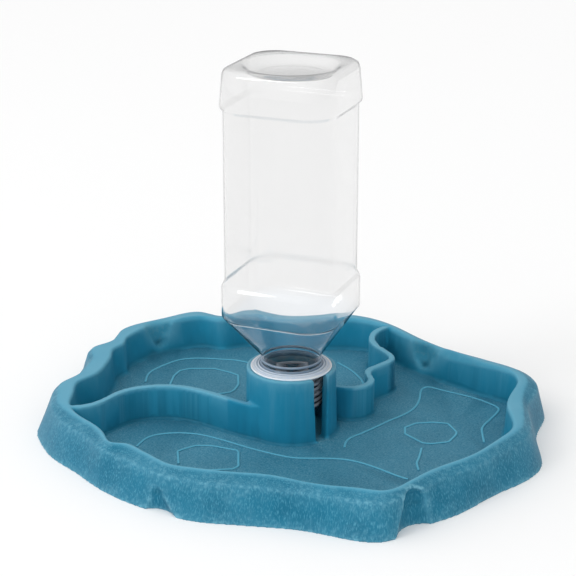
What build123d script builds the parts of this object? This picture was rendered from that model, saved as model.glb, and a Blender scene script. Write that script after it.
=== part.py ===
from build123d import *
import os
from math import hypot

# Reptile water dispenser: a rock-edged tray with two bowls, and a clear bottle that stands neck down
# in the tray's collar. Sizes are in millimetres. Plan points are measured from the collar's axis.

# Tray heights and walls
rim_height = 23.5
floor_top = 3.0
wall = 2.2
floor_gap = floor_top - wall
inner_lean = 1.0
bowl_chamfer = 1.2
edge_slope = 0.55
crest_fall = 0.7
crest_flat = 0.5
shoulder_drop = 3.8
hollow_drop = 5.4

# Divider between the bowls
divider_drop = 0.3
divider_thickness = 4.1

# Collar that holds the bottle
collar_x = -1.4
collar_y = -5.8
collar_height = 41.5
collar_top_radius = 25.5
collar_foot_radius = 26.3
collar_edge = 0.6
slot_angle = 41.8
slot_top_width = 11.0
slot_foot_width = 7.6

# Bottle: neck and support ring
neck_radius = 17.0
neck_wall = 1.6
neck_drop = 23.0
ring_radius = 23.2
ring_thickness = 3.5
ring_edge = 0.8
ring_seat_depth = 1.0
seat_clearance = 0.3
bore_clearance = 4.0

# Bottle: body
body_side = 64.3
body_corner = 16.0
band_side = 68.0
band_corner = 17.8
bottle_wall = 0.9
bottle_turn = -22.0
base_height = 215.5
base_edge = 3.2
base_side = 65.0
base_corner = 16.4
shoulder_round = 2.2
shoulder_edge = 3.2
base_band = 20.5
shoulder_band = 19.0
band_step = 3.6
shoulder_foot = 73.5
cone_foot = 48.6
punt_radius = 27.0
punt_depth = 4.5
least_flat = 0.05

# How far a cutter runs past the face that it cuts, and how far a piece reaches into what it is joined to
overcut = 1.0
scoop_reach = 14.0
bite = 0.5

# Stations round the rim: inner edge x, y, foot of the skirt x, y, width of the crest, width of its
# shoulder, and how far the crest's inner edge is rubbed down
left_tip = [
    (-125, -13, -145, -10, 7.0, 4.0, 1.0),
    (-117, -30, -135, -34, 4.0, 6.0, 1.0),
    (-102, -52, -117, -57, 3.5, 5.0, 1.0),
    (-95.5, -64.5, -106, -72, 3.0, 4.0, 1.0),
    (-90, -65, -100, -79, 3.5, 6.0, 1.0),
]
front = [
    (-77, -77, -87, -91, 3.5, 6.0, 1.0),
    (-64, -90.5, -72, -101.5, 3.5, 5.0, 1.0),
    (-52, -95, -56, -110.5, 3.5, 6.0, 1.0),
    (-32, -100, -33, -116, 3.0, 6.5, 1.0),
    (-10, -104, -10, -119.5, 3.0, 6.5, 1.0),
    (5, -111, 6, -123, 3.0, 4.5, 1.0),
    (20, -116, 22, -129.5, 3.0, 5.0, 1.0),
    (35, -119, 35, -134.5, 3.5, 6.0, 1.0),
    (47.5, -121.5, 49, -134, 3.5, 4.5, 1.0),
    (58, -113.5, 62, -123, 3.5, 3.5, 1.0),
    (74, -96.5, 83, -108, 3.5, 4.0, 1.0),
    (91, -83.5, 100, -91.5, 3.5, 3.5, 1.0),
]
right = [
    (99, -76, 110, -81, 3.5, 3.5, 1.0),
    (113, -58, 126, -67, 4.0, 4.0, 1.0),
    (121, -45, 137.5, -50, 5.0, 4.0, 1.0),
    (122, -27, 139.5, -27, 7.7, 4.0, 1.0),
    (122, -12, 141.5, -5, 10.0, 4.0, 1.0),
    (127, 5, 148, 14, 8.0, 8.5, 1.0),
    (132, 20, 149, 30, 7.0, 6.5, 1.0),
    (129, 34, 144, 50, 6.0, 6.0, 1.5),
]
back = [
    (113, 47.5, 123, 66, 7.0, 5.0, 2.5),
    (93, 67, 103, 84, 4.2, 5.0, 5.0),
    (81, 78, 93, 96, 5.5, 5.0, 2.5),
    (69, 95, 82, 112, 5.5, 5.0, 2.2),
    (60, 108, 68, 130, 6.0, 5.0, 2.0),
    (35, 121, 37, 142.5, 9.0, 4.0, 2.0),
    (15, 119, 16, 139, 9.0, 4.0, 2.0),
    (-6, 118.5, -7, 139, 10.0, 3.5, 2.0),
    (-29, 126, -30, 146.5, 10.5, 3.5, 2.0),
    (-44, 120.5, -44.5, 138, 7.0, 4.0, 2.0),
    (-56, 124.5, -59, 143.5, 10.5, 3.5, 2.0),
    (-76, 117, -82, 137, 9.0, 4.0, 2.0),
    (-92, 105, -102, 124, 10.0, 4.0, 1.5),
]
left = [
    (-101, 91, -109.5, 113, 13.5, 3.5, 1.0),
    (-103, 79, -120, 91, 9.5, 3.5, 1.0),
    (-108, 70, -130, 76, 13.5, 3.0, 1.0),
    (-108.5, 59, -130, 61, 11.0, 3.5, 1.0),
    (-110, 48, -131, 47, 11.0, 3.5, 1.0),
    (-115, 31, -135, 31, 10.5, 3.0, 1.0),
    (-124, 19, -143, 17, 10.0, 3.0, 1.0),
    (-125, 3, -146.5, 3, 9.0, 4.0, 1.0),
]
rim_spans = (left_tip, front, right, back, left)
stations = left_tip + front + right + back + left

# Middle line of each arm of the divider, from the rim to the collar and from the collar to the rim
left_arm = [
    (-125, -17), (-110, -11.5), (-97, 5), (-83, 12), (-64, 11.8), (-41, -1.5), (-29, -10.3), (-22, -14.6),
    (-15, -18),
]
right_arm = [
    (19, 14), (27, 12), (34, 10.3), (41.7, 13), (46.7, 21.5), (45.4, 34.3), (53.9, 45.3), (60.5, 54.5),
    (52.1, 76.7), (50.5, 91.2), (60.4, 107.7),
]

# Scoops: x, y and radius of the wide end, then x, y, radius and depth below the crest of the round end.
# The outer ones open at the skirt's foot, and the inner ones at the crest.
outer_scoops = [
    (69.5, -131, 18.0, 64.5, -120.5, 8.5, 9.0),
    (-73, -109, 13.0, -73, -103.5, 6.5, 13.5),
]
inner_scoops = [
    (71.2, 70.1, 17.0, 75.1, 73.4, 10.0, 6.0),
    (-79.2, 104.6, 12.0, -80.3, 106.0, 8.0, 8.5),
]

upright = (Align.CENTER, Align.CENTER, Align.MIN)


def toward(start, end, distance):
    """The point that lies a distance from start on the line to end."""
    length = hypot(end[0] - start[0], end[1] - start[1])
    return (
        start[0] + (end[0] - start[0]) * distance / length,
        start[1] + (end[1] - start[1]) * distance / length,
    )


def from_inner(distance):
    """One point for each station, a distance outwards from the rim's inner edge."""
    return [toward(s[0:2], s[2:4], distance) for s in stations]


def from_foot(distance):
    """One point for each station, a distance inwards from the skirt's foot."""
    return [toward(s[2:4], s[0:2], distance) for s in stations]


def crest_inner():
    """The inner edge of the crest, at the top of the slope that climbs from the bowl's wall."""
    return [toward(s[0:2], s[2:4], s[6] * edge_slope + crest_flat) for s in stations]


def crest_outer():
    return [toward(s[0:2], s[2:4], s[4]) for s in stations]


def shoulder(inset):
    return [toward(s[0:2], s[2:4], s[4] + s[5] - inset) for s in stations]


def spacing(points):
    """Where each point lies along a closed outline, as a share of its length, from 0 to 1."""
    lengths = [0.0]
    for a, b in zip(points, points[1:] + points[:1]):
        lengths.append(lengths[-1] + hypot(b[0] - a[0], b[1] - a[1]))
    return [length / lengths[-1] for length in lengths]


station_spacing = spacing(crest_outer())


def slope(knots, i):
    """The outline's direction and speed at a station, from the stations on both sides of it."""
    after = station_spacing[i + 1]
    before = station_spacing[i - 1] if i else station_spacing[-2] - 1
    return (knots[(i + 1) % len(knots)] - knots[i - 1]) / (after - before)


def rim_outline(points, height, falls=None):
    """A closed smooth outline through one point for each station, lowered by that station's fall."""
    falls = falls or [0] * len(points)
    knots = [Vector(x, y, height - fall) for (x, y), fall in zip(points, falls)]
    loop = knots + knots[:1]
    spans = []
    first = 0
    for stretch in rim_spans:
        last = first + len(stretch)
        spans.append(Edge.make_spline(
            loop[first:last + 1],
            tangents=[slope(knots, first), slope(knots, last % len(knots))],
            parameters=station_spacing[first:last + 1],
            scale=False,
        ))
        first = last
    return Wire(spans)


def scoop_cutter(scoop, wide_height, allowance):
    """A leaning cone with a ball at its small end, larger all round by the allowance."""
    x, y, radius, end_x, end_y, end_radius, depth = scoop
    end = Vector(end_x, end_y, rim_height - depth)
    lean = Vector(x, y, wide_height) - end
    length = lean.length + scoop_reach
    flare = (radius - end_radius) * length / lean.length
    cone = Plane(end, z_dir=lean) * Cone(
        end_radius + allowance, end_radius + allowance + flare, length, align=upright)
    return cone + Pos(*end) * Sphere(end_radius + allowance)


def make_rim():
    """The rim and the bowls' floor, as one skin above and one below, with the scoops sunk in them."""
    falls = [s[6] for s in stations]
    hollow_top = rim_height - hollow_drop
    upper_skin = [
        rim_outline(from_inner(-inner_lean - bowl_chamfer), floor_top),
        rim_outline(from_inner(-inner_lean), floor_top + bowl_chamfer),
        rim_outline(from_inner(0), rim_height, falls),
        rim_outline(crest_inner(), rim_height),
        rim_outline(crest_outer(), rim_height - crest_fall),
        rim_outline(shoulder(0), rim_height - shoulder_drop),
        rim_outline(from_foot(0), 0),
    ]
    lower_skin = [
        rim_outline(from_foot(wall), 0),
        rim_outline(shoulder(wall), hollow_top),
        rim_outline(from_inner(wall), hollow_top),
        rim_outline(from_inner(wall - inner_lean), floor_gap),
    ]
    rim = Solid.make_loft(upper_skin + lower_skin, ruled=True)
    hollow = Solid.make_loft(lower_skin, ruled=True)
    wide_ends = [(scoop, 0) for scoop in outer_scoops] + [(scoop, rim_height) for scoop in inner_scoops]
    for scoop, wide_height in wide_ends:
        backing = scoop_cutter(scoop, wide_height, wall) & hollow
        rim = rim + backing - scoop_cutter(scoop, wide_height, 0)
    return rim


def arm_outline(points, height):
    """The closed outline of a divider arm: two smooth sides, closed by a straight line at each end."""
    sides = ([], [])
    for i, point in enumerate(points):
        before = points[max(i - 1, 0)]
        after = points[min(i + 1, len(points) - 1)]
        run = hypot(after[0] - before[0], after[1] - before[1])
        across = ((before[1] - after[1]) / run, (after[0] - before[0]) / run)
        for side, sign in zip(sides, (1, -1)):
            offset = sign * divider_thickness / 2
            side.append(Vector(point[0] + across[0] * offset, point[1] + across[1] * offset, height))
    first = Edge.make_spline(sides[0])
    second = Edge.make_spline(sides[1][::-1])
    return Wire([
        first,
        Edge.make_line(sides[0][-1], sides[1][-1]),
        second,
        Edge.make_line(sides[1][0], sides[0][0]),
    ])


def make_arm(points):
    foot = floor_top - bite
    return extrude(Face(arm_outline(points, foot)), rim_height - divider_drop - foot, dir=(0, 0, 1))


def make_collar():
    """The round socket for the neck, a little wider at its foot, slit on one side to let water out."""
    foot = floor_top - bite
    outside = Pos(0, 0, foot) * Cone(
        collar_foot_radius, collar_top_radius, collar_height - foot, align=upright)
    return chamfer(outside.edges().sort_by(Axis.Z)[-1], collar_edge)


def make_tray():
    tray = make_rim() + make_arm(left_arm) + make_arm(right_arm) + make_collar()
    bore = Pos(0, 0, floor_top) * Cylinder(neck_radius + bore_clearance, collar_height, align=upright)
    seat = Pos(0, 0, collar_height - ring_seat_depth) * Cylinder(
        ring_radius + seat_clearance, collar_height, align=upright)
    slot_profile = Plane.XZ * Polygon(
        (-slot_foot_width / 2, floor_top),
        (slot_foot_width / 2, floor_top),
        (slot_top_width / 2, collar_height + overcut),
        (-slot_top_width / 2, collar_height + overcut),
        align=None,
    )
    slot = Rot(0, 0, slot_angle) * extrude(slot_profile, collar_foot_radius + overcut)
    return tray - bore - seat - slot


def body_sections(inset):
    """Rounded square sections of the bottle from the neck up to its base, each drawn in by the inset."""
    base_band_foot = base_height - base_band
    band_top = shoulder_foot + shoulder_band
    sections = [
        (cone_foot, 2 * neck_radius, neck_radius - least_flat),
        (shoulder_foot, band_side - shoulder_edge, band_corner - shoulder_edge / 2),
        (shoulder_foot + shoulder_round, band_side, band_corner),
        (band_top, band_side, band_corner),
        (band_top + band_step, body_side, body_corner),
        (base_band_foot - band_step, body_side, body_corner),
        (base_band_foot, band_side, band_corner),
        (base_height - base_edge, base_side, base_corner),
        (base_height - inset, base_side - 2 * base_edge, base_corner - base_edge),
    ]
    wires = []
    for height, side, corner in sections:
        section = RectangleRounded(side - 2 * inset, side - 2 * inset, corner - inset)
        wires.append((Pos(0, 0, height) * section).wire())
    return wires


def make_bottle():
    """The clear bottle, neck down: body, stepped bands, cone, neck with its support ring, and hollow inside."""
    seat_height = collar_height - ring_seat_depth
    mouth = seat_height - neck_drop
    body = Solid.make_loft(body_sections(0), ruled=True)
    neck = Pos(0, 0, mouth) * Cylinder(neck_radius, cone_foot - mouth + bite, align=upright)
    ring = Pos(0, 0, seat_height) * Cylinder(ring_radius, ring_thickness, align=upright)
    ring = chamfer(ring.edges().filter_by(GeomType.CIRCLE), ring_edge)
    hanging = (Align.CENTER, Align.CENTER, Align.MAX)
    dish = Pos(0, 0, base_height) * Cone(punt_radius - punt_depth, punt_radius, punt_depth, align=hanging)
    inside = Solid.make_loft(body_sections(bottle_wall), ruled=True)
    dish_skin = Pos(0, 0, base_height) * Cone(
        punt_radius - punt_depth, punt_radius + bottle_wall, punt_depth + bottle_wall, align=hanging)
    bore = Pos(0, 0, mouth) * Cylinder(neck_radius - neck_wall, cone_foot - mouth + overcut, align=upright)
    bottle = body + neck + ring - dish - (inside - dish_skin) - bore
    return Rot(0, 0, bottle_turn) * bottle


def check(name, piece):
    """Prints the volume and size of a finished piece, and whether it is one closed solid."""
    size = piece.bounding_box().size
    print(name, len(piece.solids()), piece.is_valid, round(piece.volume), size)


os.makedirs("parts", exist_ok=True)
place = Pos(collar_x, collar_y, 0)
pieces = {"tray": place * make_tray(), "bottle": place * make_bottle()}
for name, piece in pieces.items():
    check(name, piece)
    export_step(piece, f"parts/{name}.step")
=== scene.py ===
import bpy
import bmesh
import numpy as np
from math import cos, pi, radians, sin
from mathutils import Matrix, Vector


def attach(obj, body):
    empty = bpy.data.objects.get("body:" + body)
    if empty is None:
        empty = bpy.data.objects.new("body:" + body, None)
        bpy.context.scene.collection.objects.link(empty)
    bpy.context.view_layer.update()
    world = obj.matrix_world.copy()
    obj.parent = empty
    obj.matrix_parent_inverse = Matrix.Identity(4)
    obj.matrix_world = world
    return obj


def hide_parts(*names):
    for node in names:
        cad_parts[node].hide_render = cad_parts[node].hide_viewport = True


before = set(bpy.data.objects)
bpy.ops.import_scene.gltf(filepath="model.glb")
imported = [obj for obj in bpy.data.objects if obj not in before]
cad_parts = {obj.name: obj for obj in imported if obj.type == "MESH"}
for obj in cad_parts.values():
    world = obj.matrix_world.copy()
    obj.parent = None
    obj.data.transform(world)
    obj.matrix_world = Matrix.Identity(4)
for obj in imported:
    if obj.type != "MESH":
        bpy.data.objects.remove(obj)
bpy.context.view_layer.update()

# Studio: a pale floor, soft white surroundings that are brightest on the left and in front, one soft light
# from there like a window, and a camera with a long lens that looks down on the bowls.
look_down = 19.9
window_place = Vector((-1.25, -0.85, 1.15))
window_aim = Vector((0, 0, 0.05))
brightest_way = Vector((-0.60, -0.56, 0.60))
studio = bpy.context.scene
studio.view_settings.view_transform = "Standard"


def put_in_studio(name, data):
    """A new object in the studio, made of a mesh, a curve, a light's data or a camera's data."""
    thing = bpy.data.objects.new(name, data)
    studio.collection.objects.link(thing)
    return thing


def set_inputs(node, settings):
    """Sets constant inputs of a node by their names."""
    for label, value in settings.items():
        node.inputs[label].default_value = value


def start_material(name, settings):
    """A new material with its nodes, its links and its shader, whose constant inputs are set."""
    material = bpy.data.materials.new(name)
    material.use_nodes = True
    shader = material.node_tree.nodes["Principled BSDF"]
    set_inputs(shader, settings)
    return material, material.node_tree.nodes, material.node_tree.links, shader


camera_data = bpy.data.cameras.new("camera")
camera_data.lens = 109.375
camera_data.sensor_width = 36.0
camera_data.clip_start = 0.05
camera_data.clip_end = 20.0
camera = put_in_studio("camera", camera_data)
camera.location = (-0.00328, -0.92757, 0.42155)
camera.rotation_euler = (radians(90 - look_down), 0, 0)
studio.camera = camera

floor_mesh = bpy.data.meshes.new("studio_floor")
floor_mesh.from_pydata([(-6, -4, 0), (6, -4, 0), (6, 9, 0), (-6, 9, 0)], [], [(0, 1, 2, 3)])
floor_material = start_material("studio_floor", {"Base Color": (0.93, 0.93, 0.93, 1), "Roughness": 0.9})[0]
floor_mesh.materials.append(floor_material)
floor = put_in_studio("studio_floor", floor_mesh)

world = bpy.data.worlds.new("studio")
studio.world = world
world.use_nodes = True
sky_nodes, sky_links = world.node_tree.nodes, world.node_tree.links
background = sky_nodes["Background"]
background.inputs["Color"].default_value = (1, 1, 1, 1)
direction = sky_nodes.new("ShaderNodeTexCoord")
toward_light = sky_nodes.new("ShaderNodeVectorMath")
toward_light.operation = "DOT_PRODUCT"
toward_light.inputs[1].default_value = brightest_way.normalized()
strength = sky_nodes.new("ShaderNodeMapRange")
set_inputs(strength, {"From Min": -0.2, "From Max": 1.0, "To Min": 0.56, "To Max": 1.48})
sky_links.new(direction.outputs["Generated"], toward_light.inputs[0])
sky_links.new(toward_light.outputs["Value"], strength.inputs["Value"])
sky_links.new(strength.outputs["Result"], background.inputs["Strength"])

window_data = bpy.data.lights.new("window", "AREA")
window_data.shape = "SQUARE"
window_data.size = 0.5
window_data.energy = 4.0
window = put_in_studio("window", window_data)
window.location = window_place
window.rotation_euler = (window_aim - window_place).to_track_quat("-Z", "Y").to_euler()


# Tray: one moulding in matt teal plastic, with a rock-like rim round two bowls, a winding divider and the
# bottle's collar. Its edges are softly rounded and its faces finely grained by the mould.
collar_axis = (-0.0014, -0.0058)
crest_height = 0.0235
voxel = 0.0008
softening = 0.5
softening_passes = 3
kept_triangles = 0.25
streak_colour = (0.060, 0.265, 0.380)
weave_colour = (0.265, 0.525, 0.635)
# Painted highlight: the lighter colour of the crest's upward flats.
crest_highlight_colour = (0.085, 0.315, 0.450)
# The colour inside the wall's scoops: lighter, and speckled.
scoop_colour = (0.070, 0.280, 0.390)
# Painted highlight along the bulging edges, broken by scuffs on the skirt.
edge_highlight_and_wear_colour = (0.170, 0.420, 0.540)
# Painted highlight on the contour lines' tops.
ridge_highlight_colour = (0.090, 0.360, 0.500)
# Painted shade: the dark colour in creases and hollows low on the tray.
crease_shade_colour = (0.004, 0.070, 0.120)


def plain_mesh(name, source):
    """The finished shape of an object with its modifiers, as a new object with nothing live on it."""
    view = bpy.context.evaluated_depsgraph_get()
    mesh = bpy.data.meshes.new_from_object(source.evaluated_get(view), depsgraph=view)
    mesh.name = name
    bpy.data.objects.remove(source)
    return put_in_studio(name, mesh)


def rows_of_three(things, label):
    """Three numbers for each of a mesh's things, such as a vertex's place, as the rows of an array."""
    numbers = np.empty(len(things) * 3)
    things.foreach_get(label, numbers)
    return numbers.reshape(-1, 3)


def keep_zone(mesh, name, values):
    """Keeps one number for each vertex on the mesh, which the plastic's material reads by its name."""
    attribute = mesh.attributes.new(name, "FLOAT", "POINT")
    attribute.data.foreach_set("value", values.astype(np.float32))


tray_blank_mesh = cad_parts["tray"].data.copy()
welder = bmesh.new()
welder.from_mesh(tray_blank_mesh)
bmesh.ops.remove_doubles(welder, verts=welder.verts, dist=1e-6)
welder.to_mesh(tray_blank_mesh)
welder.free()
tray_blank = put_in_studio("tray_blank", tray_blank_mesh)
even = tray_blank.modifiers.new("even", "REMESH")
even.mode = "VOXEL"
even.voxel_size = voxel
even.use_smooth_shade = True
soften = tray_blank.modifiers.new("soften", "SMOOTH")
soften.factor = softening
soften.iterations = softening_passes
thin = tray_blank.modifiers.new("thin", "DECIMATE")
thin.ratio = kept_triangles
tray = plain_mesh("tray_moulding", tray_blank)
mesh = tray.data
count = len(mesh.vertices)
spots = rows_of_three(mesh.vertices, "co")
edges = np.empty(len(mesh.edges) * 2, dtype=np.int64)
mesh.edges.foreach_get("vertices", edges)
edges = edges.reshape(-1, 2)
degree = np.bincount(edges.ravel(), minlength=count)


def neighbour_mean(values):
    """Each vertex's mean of its neighbours' values."""
    total = np.zeros_like(values)
    np.add.at(total, edges[:, 0], values[edges[:, 1]])
    np.add.at(total, edges[:, 1], values[edges[:, 0]])
    return total / np.maximum(degree, 1).reshape(-1, *([1] * (values.ndim - 1)))


# Where the rock's inner face is scooped out below the crest: each scoop's place, the way it faces, half its
# width and its lowest point. The moulding's scoops are rubbed wide here, open at the crest: the wall round
# each is first faired, and then pushed outward in the shape of a U.
wall_scoops = [
    ((0.0778, 0.0702), (0.764, 0.646), 0.0125, 0.0082),
    ((-0.0829, 0.1040), (-0.618, 0.786), 0.0110, 0.0092),
]
scoop_span = 0.03
wall_front = -0.02
wall_back = 0.012
fairing_middle = 0.0150
fairing_half_height = 0.013
fairing_back = 0.010
fairing_fade = 0.003
fairing_share = 0.6
fairing_passes = 45
push_back = 0.011
push_fade = 0.012
push_depth = 0.0030
in_scoop_back = 0.009
in_scoop = np.zeros(count)
for (x, y), (out_x, out_y), half_width, lowest in wall_scoops:
    away = spots[:, :2] - (x, y)
    depth = away @ (out_x, out_y)
    along = away @ (-out_y, out_x)
    level = np.clip((spots[:, 2] - lowest) / (crest_height - lowest), 0, 1)
    span = half_width * np.sqrt(level) + 1e-6
    reach = np.clip(1 - (along / span) ** 2, 0, 1)
    near = (np.abs(along) < scoop_span) & (depth < wall_back) & (depth > wall_front)
    upright = (spots[:, 2] - fairing_middle) / fairing_half_height
    fair = near * np.clip(1.5 - np.hypot(along / half_width, upright), 0, 1)
    fair *= np.clip((fairing_back - depth) / fairing_fade, 0, 1)
    for _ in range(fairing_passes):
        spots += fairing_share * fair[:, None] * (neighbour_mean(spots) - spots)
    push = near * reach ** 0.8 * np.clip((push_back - depth) / push_fade, 0, 1) * push_depth
    spots[:, 0] += push * out_x
    spots[:, 1] += push * out_y
    # Where each scoop's lighter, speckled colour goes.
    in_scoop = np.maximum(in_scoop, near * np.clip(reach * 3, 0, 1) * (depth < in_scoop_back))
mesh.vertices.foreach_set("co", spots.ravel())
mesh.update()

# The zones that the material tells apart. Those of a bulge or a hollow come from how far a vertex stands out
# of its neighbours, in metres, and the others from its place and the way that it faces.
skirt_from = 0.07
skirt_lean = 0.15
floor_lean = 0.9
crest_lean = 0.92
floor_low = 0.002
floor_high = 0.006
crest_low = 0.018
fold_high = 0.012
collar_reach = 0.040
plain_reach = 0.037
plain_height = 0.034
# The bulge at which an edge takes its full painted highlight.
edge_highlight_bulge = 0.00012
fold_hollow = 0.00010
zone_passes = 2
near_wall_passes = 8
near_wall_gain = 1.6
normals = rows_of_three(mesh.vertex_normals, "vector")
height = spots[:, 2]
upward = normals[:, 2]
from_middle = np.linalg.norm(spots[:, :2], axis=1)
from_collar = np.linalg.norm(spots[:, :2] - collar_axis, axis=1)
outward = (spots[:, :2] / from_middle[:, None] * normals[:, :2]).sum(axis=1)
bulge = ((spots - neighbour_mean(neighbour_mean(spots))) * normals).sum(axis=1)
for _ in range(zone_passes):
    bulge = neighbour_mean(bulge)
collar_foot = (from_collar < plain_reach) & (height < plain_height)
zones = {
    "skirt": np.clip((outward - skirt_lean) * 4, 0, 1) * (from_middle > skirt_from),
    "floor": np.clip((upward - floor_lean) * 12, 0, 1) * (height < floor_high) * (height > floor_low),
    # Upward flats of the crest, which take a painted highlight.
    "crest": np.clip((upward - crest_lean) * 14, 0, 1) * (height > crest_low),
    # Bulging edges, which take a painted highlight, except round the collar's foot.
    "edge": np.clip(bulge / edge_highlight_bulge, 0, 1) * ~collar_foot,
    "collar": np.clip((collar_reach - from_collar) * 600, 0, 1),
    # Creases and hollows low down, which take a painted shade.
    "fold": np.clip(-bulge / fold_hollow - 0.15, 0, 1) * (height < fold_high),
    "in_scoop": in_scoop,
}
for name, values in zones.items():
    for _ in range(zone_passes):
        values = neighbour_mean(values)
    keep_zone(mesh, name, values)
near_wall = zones["fold"]
for _ in range(near_wall_passes):
    near_wall = neighbour_mean(near_wall)
keep_zone(mesh, "near_wall", np.clip(near_wall * near_wall_gain, 0, 1))

teal, nodes, links, teal_shader = start_material("teal_plastic", {
    "Roughness": 0.5, "Specular IOR Level": 0.35, "Specular Tint": (0.45, 0.85, 1.0, 1)})


def own_place():
    """A point's place in the piece's own coordinates."""
    return nodes.new("ShaderNodeTexCoord").outputs["Object"]


def grain(scale, detail, stretch=(1, 1, 1)):
    """A noise over the piece in its own coordinates, with its grains per metre and its stretch."""
    mapping = nodes.new("ShaderNodeMapping")
    mapping.inputs["Scale"].default_value = stretch
    noise = nodes.new("ShaderNodeTexNoise")
    set_inputs(noise, {"Scale": scale, "Detail": detail})
    links.new(own_place(), mapping.inputs["Vector"])
    links.new(mapping.outputs["Vector"], noise.inputs["Vector"])
    return noise.outputs["Fac"]


def ramp(value, stops):
    """A colour that follows a value through stops, each a position and its colour."""
    node = nodes.new("ShaderNodeValToRGB")
    for i, (position, colour) in enumerate(stops):
        element = node.color_ramp.elements[i] if i < 2 else node.color_ramp.elements.new(position)
        element.position = position
        element.color = (*colour, 1)
    links.new(value, node.inputs["Fac"])
    return node.outputs["Color"]


def shade(first, second, share, kind="MIX"):
    """Two colours mixed by a share, either of them a socket or a constant."""
    mix = nodes.new("ShaderNodeMix")
    mix.data_type = "RGBA"
    mix.blend_type = kind
    for label, value in (("Factor", share), ("A", first), ("B", second)):
        if isinstance(value, (tuple, float)):
            mix.inputs[label].default_value = (*value, 1) if isinstance(value, tuple) else value
        else:
            links.new(value, mix.inputs[label])
    return mix.outputs["Result"]


def zone(name):
    """How far a point lies in one of the mesh's zones."""
    node = nodes.new("ShaderNodeAttribute")
    node.attribute_name = name
    return node.outputs["Fac"]


def grey(amount):
    return (amount, amount, amount)


def only_in(name, share):
    """A share that counts in one zone and nowhere else."""
    return shade(grey(0.0), share, zone(name))


def between(value, start, end, least=0.0):
    """A grey that grows from the least to white as the value goes from the start to the end."""
    return ramp(value, [(start, grey(least)), (end, grey(1.0))])


cloud = grain(45, 4)


def clouded(dark, light):
    """A colour that drifts between two shades in soft clouds."""
    return ramp(cloud, [(0.35, dark), (0.65, light)])


streaks = between(grain(1500, 3, (1, 1, 0.20)), 0.50, 0.76)
weave = between(grain(2400, 2, (0.42, 1, 1)), 0.40, 0.70)
scuff = between(grain(420, 6), 0.46, 0.64, 0.35)
# The rock's faces are painted lighter than the collar's, as painted light on the inner walls.
rock_face_painted_lighter = clouded((0.013, 0.232, 0.375), (0.020, 0.258, 0.410))
collar_face = clouded((0.010, 0.200, 0.332), (0.015, 0.222, 0.365))
skirt_face = shade(clouded((0.005, 0.118, 0.205), (0.010, 0.150, 0.250)), streak_colour, streaks)
floor_calm = clouded((0.012, 0.180, 0.295), (0.022, 0.215, 0.345))
floor_rough = shade(clouded((0.018, 0.165, 0.262), (0.032, 0.205, 0.315)), weave_colour, weave)
floor_face = shade(floor_rough, shade(floor_calm, floor_rough, 0.45), zone("near_wall"))
# The speckle of the scoops' colour.
scoop_speckle = shade(grey(0.25), grey(0.9), scuff)
# The share of the painted edge highlight: speckled by scuffs on the skirt, even elsewhere.
edge_highlight_and_scuff_share = shade(grey(0.6), scuff, zone("skirt"))
# Painted light: the rock's faces take the lighter colour, the collar its own.
colour = shade(rock_face_painted_lighter, collar_face, zone("collar"))
for layer, share in (
    (skirt_face, zone("skirt")),
    (floor_face, zone("floor")),
    # painted highlight on the crest's upward flats
    (crest_highlight_colour, zone("crest")),
    (scoop_colour, only_in("in_scoop", scoop_speckle)),
    # painted highlight on the edges, with scuffs
    (edge_highlight_and_wear_colour, only_in("edge", edge_highlight_and_scuff_share)),
    # painted highlight on the contour lines' tops
    (ridge_highlight_colour, zone("ridge")),
    # painted shade in the creases
    (crease_shade_colour, only_in("fold", grey(0.75))),
):
    colour = shade(colour, layer, share)
links.new(colour, teal_shader.inputs["Base Color"])
bump = nodes.new("ShaderNodeBump")
set_inputs(bump, {"Strength": 0.3, "Distance": 0.0003})
relief = shade(shade(grey(0.5), streaks, zone("skirt")), weave, zone("floor"))
links.new(relief, bump.inputs["Height"])
links.new(bump.outputs["Normal"], teal_shader.inputs["Normal"])

tray.data.materials.clear()
tray.data.materials.append(teal)
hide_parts("tray")
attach(tray, "tray")


# Contours on the bowls' floors: thin raised lines in the tray's own teal plastic, moulded with it, that
# wander like the edges of rock shelves. Their points are millimetres from the collar's axis.
bowl_floor = 0.0030
contour_sizes = {"Line width": 0.0017, "Line height": 0.0006}
shelves = [
    [(30, -29), (30, -24), (33, -16), (40, -10), (48, -2), (57, 8), (64, 14), (71, 22), (75, 31),
     (77, 40), (78, 50), (80, 56), (84, 58), (90, 53), (102, 46), (113, 38), (121, 29), (123, 24),
     (120, 17), (115, 8), (110, -1), (109, -9), (109, -22)],
    [(-87, -28), (-84, -18), (-78, -12), (-71, -10), (-64, -9), (-52, -11), (-40, -18), (-23, -30),
     (-11, -37), (-1, -42), (5, -43), (20, -43), (29, -44), (38, -48), (49, -57), (58, -66),
     (63, -69)],
    [(73, -30), (71, -42), (69, -48), (69, -53), (69.5, -58)],
    [(-89, 65), (-89, 76), (-86, 84), (-79, 93), (-70, 102), (-58, 104), (-45, 102), (-32, 100),
     (-27, 96)],
    [(29.5, 96), (36.7, 86), (41.3, 75), (43.7, 67), (44, 62)],
]
slabs = [
    [(-62, -50), (-63.5, -34), (-61, -31.5), (-54, -26.5), (-45, -26.5), (-29.5, -33), (-29, -53),
     (-32, -56.5), (-46, -58)],
    [(-74, 58), (-72.2, 75), (-69, 83), (-63, 86.5), (-48, 86.5), (-38, 80.5), (-32.5, 75.5), (-32, 61),
     (-34.5, 52.5), (-37, 49), (-46, 46)],
    [(64.9, -10.5), (65.5, -2), (72, 4), (82, 5.5), (90.7, 3.6), (94.6, -8), (94, -12), (89, -21.5),
     (79, -24), (74, -22.8), (64.9, -10.5)],
]
curved_order = 3
straight_order = 2
contour_curve = bpy.data.curves.new("contour_lines", "CURVE")
contour_curve.dimensions = "3D"
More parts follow.
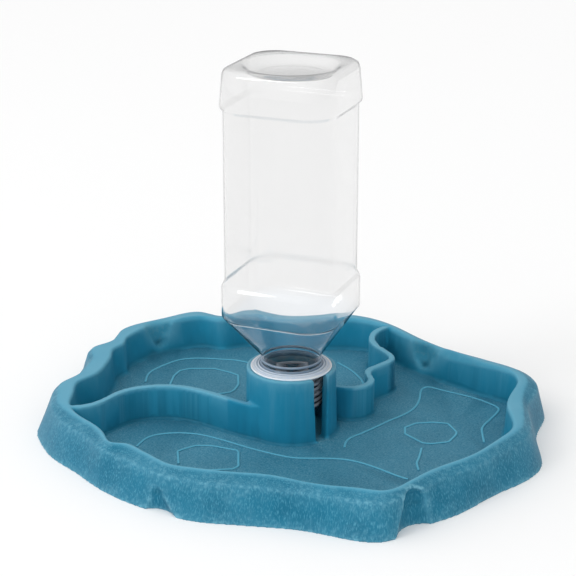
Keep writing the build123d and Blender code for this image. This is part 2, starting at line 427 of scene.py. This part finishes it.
for order, lines in ((curved_order, shelves), (straight_order, slabs)):
    for points in lines:
        spline = contour_curve.splines.new("NURBS")
        spline.points.add(len(points) - 1)
        for target, (x, y) in zip(spline.points, points):
            target.co = (collar_axis[0] + x / 1000, collar_axis[1] + y / 1000, bowl_floor, 1)
        spline.order_u = order
        spline.use_endpoint_u = True
        spline.resolution_u = 6
contour_blank = put_in_studio("contour_blank", contour_curve)


def node_tree(name, sizes):
    """An empty geometry tree with a geometry input and output, and one named size input for each entry."""
    tree = bpy.data.node_groups.new(name, "GeometryNodeTree")
    tree.interface.new_socket("Geometry", in_out="INPUT", socket_type="NodeSocketGeometry")
    tree.interface.new_socket("Geometry", in_out="OUTPUT", socket_type="NodeSocketGeometry")
    for label in sizes:
        tree.interface.new_socket(label, in_out="INPUT", socket_type="NodeSocketFloat")
    return tree, tree.nodes.new("NodeGroupInput"), tree.nodes.new("NodeGroupOutput")


def sweep_along(tree, path, profile, material, made):
    """Sweeps the profile along the path, smooth and closed at its ends, and finishes it in the material."""
    sweep = tree.nodes.new("GeometryNodeCurveToMesh")
    sweep.inputs["Fill Caps"].default_value = True
    smooth = tree.nodes.new("GeometryNodeSetShadeSmooth")
    realize = tree.nodes.new("GeometryNodeRealizeInstances")
    paint = tree.nodes.new("GeometryNodeSetMaterial")
    paint.inputs["Material"].default_value = material
    tree.links.new(path, sweep.inputs["Curve"])
    tree.links.new(profile, sweep.inputs["Profile Curve"])
    tree.links.new(sweep.outputs["Mesh"], smooth.inputs["Geometry"])
    tree.links.new(smooth.outputs["Geometry"], realize.inputs["Geometry"])
    tree.links.new(realize.outputs["Geometry"], paint.inputs["Geometry"])
    tree.links.new(paint.outputs["Geometry"], made.inputs["Geometry"])


def set_sizes(piece, tree, sizes):
    """Puts the tree on the piece as a modifier and sets its sizes by their sockets' identifiers."""
    modifier = piece.modifiers.new(tree.name, "NODES")
    modifier.node_group = tree
    for socket in tree.interface.items_tree:
        if socket.in_out == "INPUT" and socket.name in sizes:
            modifier[socket.identifier] = sizes[socket.name]


tree, given, made = node_tree("contour_tree", contour_sizes)
profile = tree.nodes.new("GeometryNodeCurvePrimitiveCircle")
set_inputs(profile, {"Resolution": 12, "Radius": 1.0})
squeeze = tree.nodes.new("GeometryNodeTransform")
half = tree.nodes.new("ShaderNodeMath")
half.operation = "MULTIPLY"
half.inputs[1].default_value = 0.5
scale = tree.nodes.new("ShaderNodeCombineXYZ")
scale.inputs["Z"].default_value = 1.0
tree.links.new(given.outputs["Line width"], half.inputs[0])
tree.links.new(half.outputs[0], scale.inputs["X"])
tree.links.new(given.outputs["Line height"], scale.inputs["Y"])
tree.links.new(profile.outputs["Curve"], squeeze.inputs["Geometry"])
tree.links.new(scale.outputs["Vector"], squeeze.inputs["Scale"])
sweep_along(tree, given.outputs["Geometry"], squeeze.outputs["Geometry"], teal, made)
set_sizes(contour_blank, tree, contour_sizes)
contour_lines = plain_mesh("floor_contours", contour_blank)
above_floor = rows_of_three(contour_lines.data.vertices, "co")[:, 2] - bowl_floor
rise = above_floor / contour_sizes["Line height"]
keep_zone(contour_lines.data, "floor", np.ones(len(rise)))
keep_zone(contour_lines.data, "near_wall", np.ones(len(rise)))
# The lines' tops take a painted highlight, and their lower sides the painted crease shade.
keep_zone(contour_lines.data, "ridge", np.clip(rise * 2 - 0.6, 0, 1))
keep_zone(contour_lines.data, "fold", np.clip(1.0 - rise * 2, 0, 1))
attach(contour_lines, "tray")


# Bottle: clear plastic, blown in one with its neck. It has a rounded square body with two stepped bands, a
# dished base and a cone, and it stands neck down in the collar.
bottle_turn = radians(-22)
bottle_wall = 0.00035
neck_radius = 0.0170
mouth_height = 0.0175
base_height = 0.2155
corner_points = 24
least_flat = 1e-5
# Each section is its height, its side across the flats and its corners' radius.
round_neck = (2 * neck_radius, neck_radius - least_flat)
neck_low = (mouth_height, *round_neck)
neck_high = (0.0486, *round_neck)
shoulder_low = (0.0735, 0.0648, 0.0162)
band_low = (0.0757, 0.0680, 0.0178)
band_high = (0.0918, 0.0680, 0.0178)
body_low = (0.0968, 0.0643, 0.0160)
body_high = (0.1914, 0.0643, 0.0160)
base_band_low = (0.1950, 0.0680, 0.0178)
base_edge_low = (0.2123, 0.0650, 0.0164)
base_edge_mid = (0.2145, 0.0630, 0.0154)
base_edge_top = (base_height, 0.0595, 0.0138)
# Each ring of the dish is its radius and its height.
dish = [
    (0.0275, base_height), (0.0262, base_height - 0.0005), (0.0245, base_height - 0.0022),
    (0.0225, base_height - 0.0040), (0.018, base_height - 0.0048), (0.006, base_height - 0.0051),
]
cone_top_low = 0.071
cone_top_high = 0.076


def square_ring(shape, height, side, corner):
    """A ring of vertices round a rounded square, the same number for each corner."""
    ring = []
    reach = side / 2 - corner
    for quarter in range(4):
        centre = radians(45 + 90 * quarter)
        x = reach * (1 if cos(centre) > 0 else -1)
        y = reach * (1 if sin(centre) > 0 else -1)
        for step in range(corner_points):
            angle = radians(90 * quarter + 90 * step / (corner_points - 1))
            ring.append(shape.verts.new((x + corner * cos(angle), y + corner * sin(angle), height)))
    return ring


def bridge(shape, lower, upper):
    """Faces between two closed rings with the same number of vertices."""
    for i in range(len(lower)):
        j = (i + 1) % len(lower)
        shape.faces.new((lower[i], lower[j], upper[j], upper[i]))


def eased(start, end, steps):
    """Sections between two sections, eased in and out like a soft step."""
    rows = []
    for step in range(1, steps + 1):
        share = step / steps
        soft = (1 - cos(pi * share)) / 2
        height = start[0] + (end[0] - start[0]) * share
        rows.append((height, *(a + (b - a) * soft for a, b in zip(start[1:], end[1:]))))
    return rows


def smooth_mesh(name, shape):
    """The mesh of a finished shape, with smooth shading."""
    mesh = bpy.data.meshes.new(name)
    shape.to_mesh(mesh)
    shape.free()
    for face in mesh.polygons:
        face.use_smooth = True
    return mesh


sections = [
    neck_low, neck_high,
    shoulder_low, *eased(shoulder_low, band_low, 4),
    band_high, *eased(band_high, body_low, 8),
    body_high, *eased(body_high, base_band_low, 8),
    base_edge_low, base_edge_mid, base_edge_top,
]
shell = bmesh.new()
rings = [square_ring(shell, *section) for section in sections]
rings += [square_ring(shell, height, 2 * radius, radius - least_flat) for radius, height in dish]
for lower, upper in zip(rings, rings[1:]):
    bridge(shell, lower, upper)
shell.faces.new(rings[-1])
bmesh.ops.recalc_face_normals(shell, faces=shell.faces)
bmesh.ops.remove_doubles(shell, verts=shell.verts, dist=2e-6)
bmesh.ops.rotate(shell, verts=shell.verts, cent=(0, 0, 0), matrix=Matrix.Rotation(bottle_turn, 3, "Z"))
bmesh.ops.translate(shell, verts=shell.verts, vec=(*collar_axis, 0))
bottle_blank = put_in_studio("bottle_blank", smooth_mesh("bottle_blank", shell))
wall = bottle_blank.modifiers.new("wall", "SOLIDIFY")
wall.thickness = bottle_wall
wall.offset = -1.0
bottle = plain_mesh("bottle_shell", bottle_blank)

clear, nodes, links, clear_shader = start_material("clear_pet", {
    "Roughness": 0.02, "IOR": 1.45, "Transmission Weight": 1.0})
view_edge = nodes.new("ShaderNodeLayerWeight")
view_edge.inputs["Blend"].default_value = 0.25
facing = view_edge.outputs["Facing"]
place_parts = nodes.new("ShaderNodeSeparateXYZ")
cone_share = nodes.new("ShaderNodeMapRange")
set_inputs(cone_share, {"From Min": cone_top_low, "From Max": cone_top_high, "To Min": 1.0, "To Max": 0.0})
links.new(own_place(), place_parts.inputs["Vector"])
links.new(place_parts.outputs["Z"], cone_share.inputs["Value"])
# A faint grey tint in the clear plastic, darkened by painted shade where its faces are seen edge-on; on the
# cone the painted edge shade is paler and bluish.
body_tint_and_edge_shade = ramp(facing, [(0.46, (0.93, 0.93, 0.93)), (0.76, (0.16, 0.17, 0.20))])
cone_tint_and_edge_shade = ramp(facing, [(0.30, (0.93, 0.955, 0.98)), (1.0, (0.72, 0.80, 0.92))])
links.new(shade(body_tint_and_edge_shade, cone_tint_and_edge_shade, cone_share.outputs["Result"]), clear_shader.inputs["Base Color"])
bottle.data.materials.clear()
bottle.data.materials.append(clear)
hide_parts("bottle")
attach(bottle, "bottle")


# Support ring: the flange round the bottle's neck, in the same clear plastic and moulded with it, with fine
# beads on its upper face and one bead round the neck above it. It rests in the collar's recess.
ring_radius = 0.0232
ring_foot = 0.0405
ring_edge = 0.0420
ring_top = 0.0440
neck_bite = neck_radius - 0.0002
ring_steps = 128
bead_count = 3
bead_pitch = 0.0014
bead_rise = 0.0004
neck_bead_height = 0.0460
ring_profile = [
    (neck_bite, ring_foot), (ring_radius - 0.0006, ring_foot), (ring_radius - 0.0002, ring_foot + 0.0002),
    (ring_radius, ring_foot + 0.0006), (ring_radius, ring_edge - 0.0005),
    (ring_radius - 0.0003, ring_edge - 0.0001), (ring_radius - 0.0008, ring_edge),
]
for bead in range(bead_count):
    inward = ring_radius - 0.0013 - bead_pitch * bead
    bead_foot = ring_edge + bead_rise * bead
    bead_top = bead_foot + 0.0003
    ring_profile += [(inward, bead_foot - 0.0006), (inward - 0.0004, bead_top), (inward - 0.0009, bead_top)]
ring_profile += [
    (neck_radius + 0.0014, ring_edge + 0.0006), (neck_radius + 0.0009, ring_edge + 0.0010),
    (neck_radius + 0.0008, ring_top - 0.0004), (neck_radius + 0.0004, ring_top), (neck_bite, ring_top),
]
neck_bead_profile = [
    (neck_bite, neck_bead_height - 0.0008), (neck_radius + 0.0004, neck_bead_height - 0.0005),
    (neck_radius + 0.0007, neck_bead_height), (neck_radius + 0.0004, neck_bead_height + 0.0005),
    (neck_bite, neck_bead_height + 0.0008),
]
lathe = bmesh.new()
for ring_line in (ring_profile, neck_bead_profile):
    loops = []
    for step in range(ring_steps):
        angle = 2 * pi * step / ring_steps
        loops.append([lathe.verts.new((r * cos(angle), r * sin(angle), z)) for r, z in ring_line])
    for i in range(ring_steps):
        bridge(lathe, loops[i], loops[(i + 1) % ring_steps])
bmesh.ops.recalc_face_normals(lathe, faces=lathe.faces)
bmesh.ops.translate(lathe, verts=lathe.verts, vec=(*collar_axis, 0))
support_ring = put_in_studio("support_ring", smooth_mesh("support_ring", lathe))

frosted, nodes, links, frosted_shader = start_material("frosted_pet", {
    "Roughness": 0.06, "IOR": 1.5, "Transmission Weight": 0.15})
centred = nodes.new("ShaderNodeMapping")
set_inputs(centred, {"Location": (-collar_axis[0], -collar_axis[1], 0), "Scale": (1, 1, 0)})
from_axis = nodes.new("ShaderNodeVectorMath")
from_axis.operation = "LENGTH"
radius_share = nodes.new("ShaderNodeMapRange")
set_inputs(radius_share, {"From Min": neck_radius, "From Max": ring_radius})
links.new(own_place(), centred.inputs["Vector"])
links.new(centred.outputs["Vector"], from_axis.inputs[0])
links.new(from_axis.outputs["Value"], radius_share.inputs["Value"])
# Rings by radius, dark and light: painted shade and painted highlights for the rings of light in the flange
# and its beads, over a pale blue-grey.
ring_tint_with_painted_bands = ramp(radius_share.outputs["Result"], [
    (0.0, (0.42, 0.52, 0.62)), (0.16, (0.10, 0.17, 0.24)), (0.26, (0.80, 0.87, 0.95)),
    (0.42, (0.30, 0.40, 0.50)), (0.55, (0.92, 0.96, 1.0)), (0.72, (0.66, 0.75, 0.86)),
    (0.82, (1.0, 1.0, 1.0))])
haze = ramp(grain(420, 3), [(0.3, (0.80, 0.89, 1.0)), (0.7, (0.95, 0.98, 1.0))])
links.new(shade(ring_tint_with_painted_bands, haze, 1.0, "MULTIPLY"), frosted_shader.inputs["Base Color"])
support_ring.data.materials.append(frosted)
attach(support_ring, "bottle")


# Screw thread: one raised helix round the bottle's neck, in the same clear plastic and moulded with it. It
# shows through the collar's slot.
thread_foot = 0.0205
thread_sizes = {"Turns": 5.0, "Radius": 0.0172, "Rise": 0.0165, "Ridge": 0.0010}
thread_pet, nodes, links, thread_shader = start_material("thread_pet", {
    "Roughness": 0.22, "IOR": 1.45, "Transmission Weight": 0.55})
thread_tint = ramp(grain(300, 2), [(0.3, (0.52, 0.60, 0.68)), (0.7, (0.72, 0.78, 0.85))])
links.new(thread_tint, thread_shader.inputs["Base Color"])
thread_blank = put_in_studio("thread_blank", bpy.data.curves.new("thread_line", "CURVE"))
tree, given, made = node_tree("thread_tree", thread_sizes)
spiral = tree.nodes.new("GeometryNodeCurveSpiral")
spiral.inputs["Resolution"].default_value = 64
ridge = tree.nodes.new("GeometryNodeCurvePrimitiveCircle")
ridge.inputs["Resolution"].default_value = 8
lift = tree.nodes.new("GeometryNodeTransform")
lift.inputs["Translation"].default_value = (*collar_axis, thread_foot)
tree.links.new(given.outputs["Turns"], spiral.inputs["Rotations"])
tree.links.new(given.outputs["Radius"], spiral.inputs["Start Radius"])
tree.links.new(given.outputs["Radius"], spiral.inputs["End Radius"])
tree.links.new(given.outputs["Rise"], spiral.inputs["Height"])
tree.links.new(given.outputs["Ridge"], ridge.inputs["Radius"])
tree.links.new(spiral.outputs["Curve"], lift.inputs["Geometry"])
sweep_along(tree, lift.outputs["Geometry"], ridge.outputs["Curve"], thread_pet, made)
set_sizes(thread_blank, tree, thread_sizes)
thread = plain_mesh("neck_thread", thread_blank)
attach(thread, "bottle")
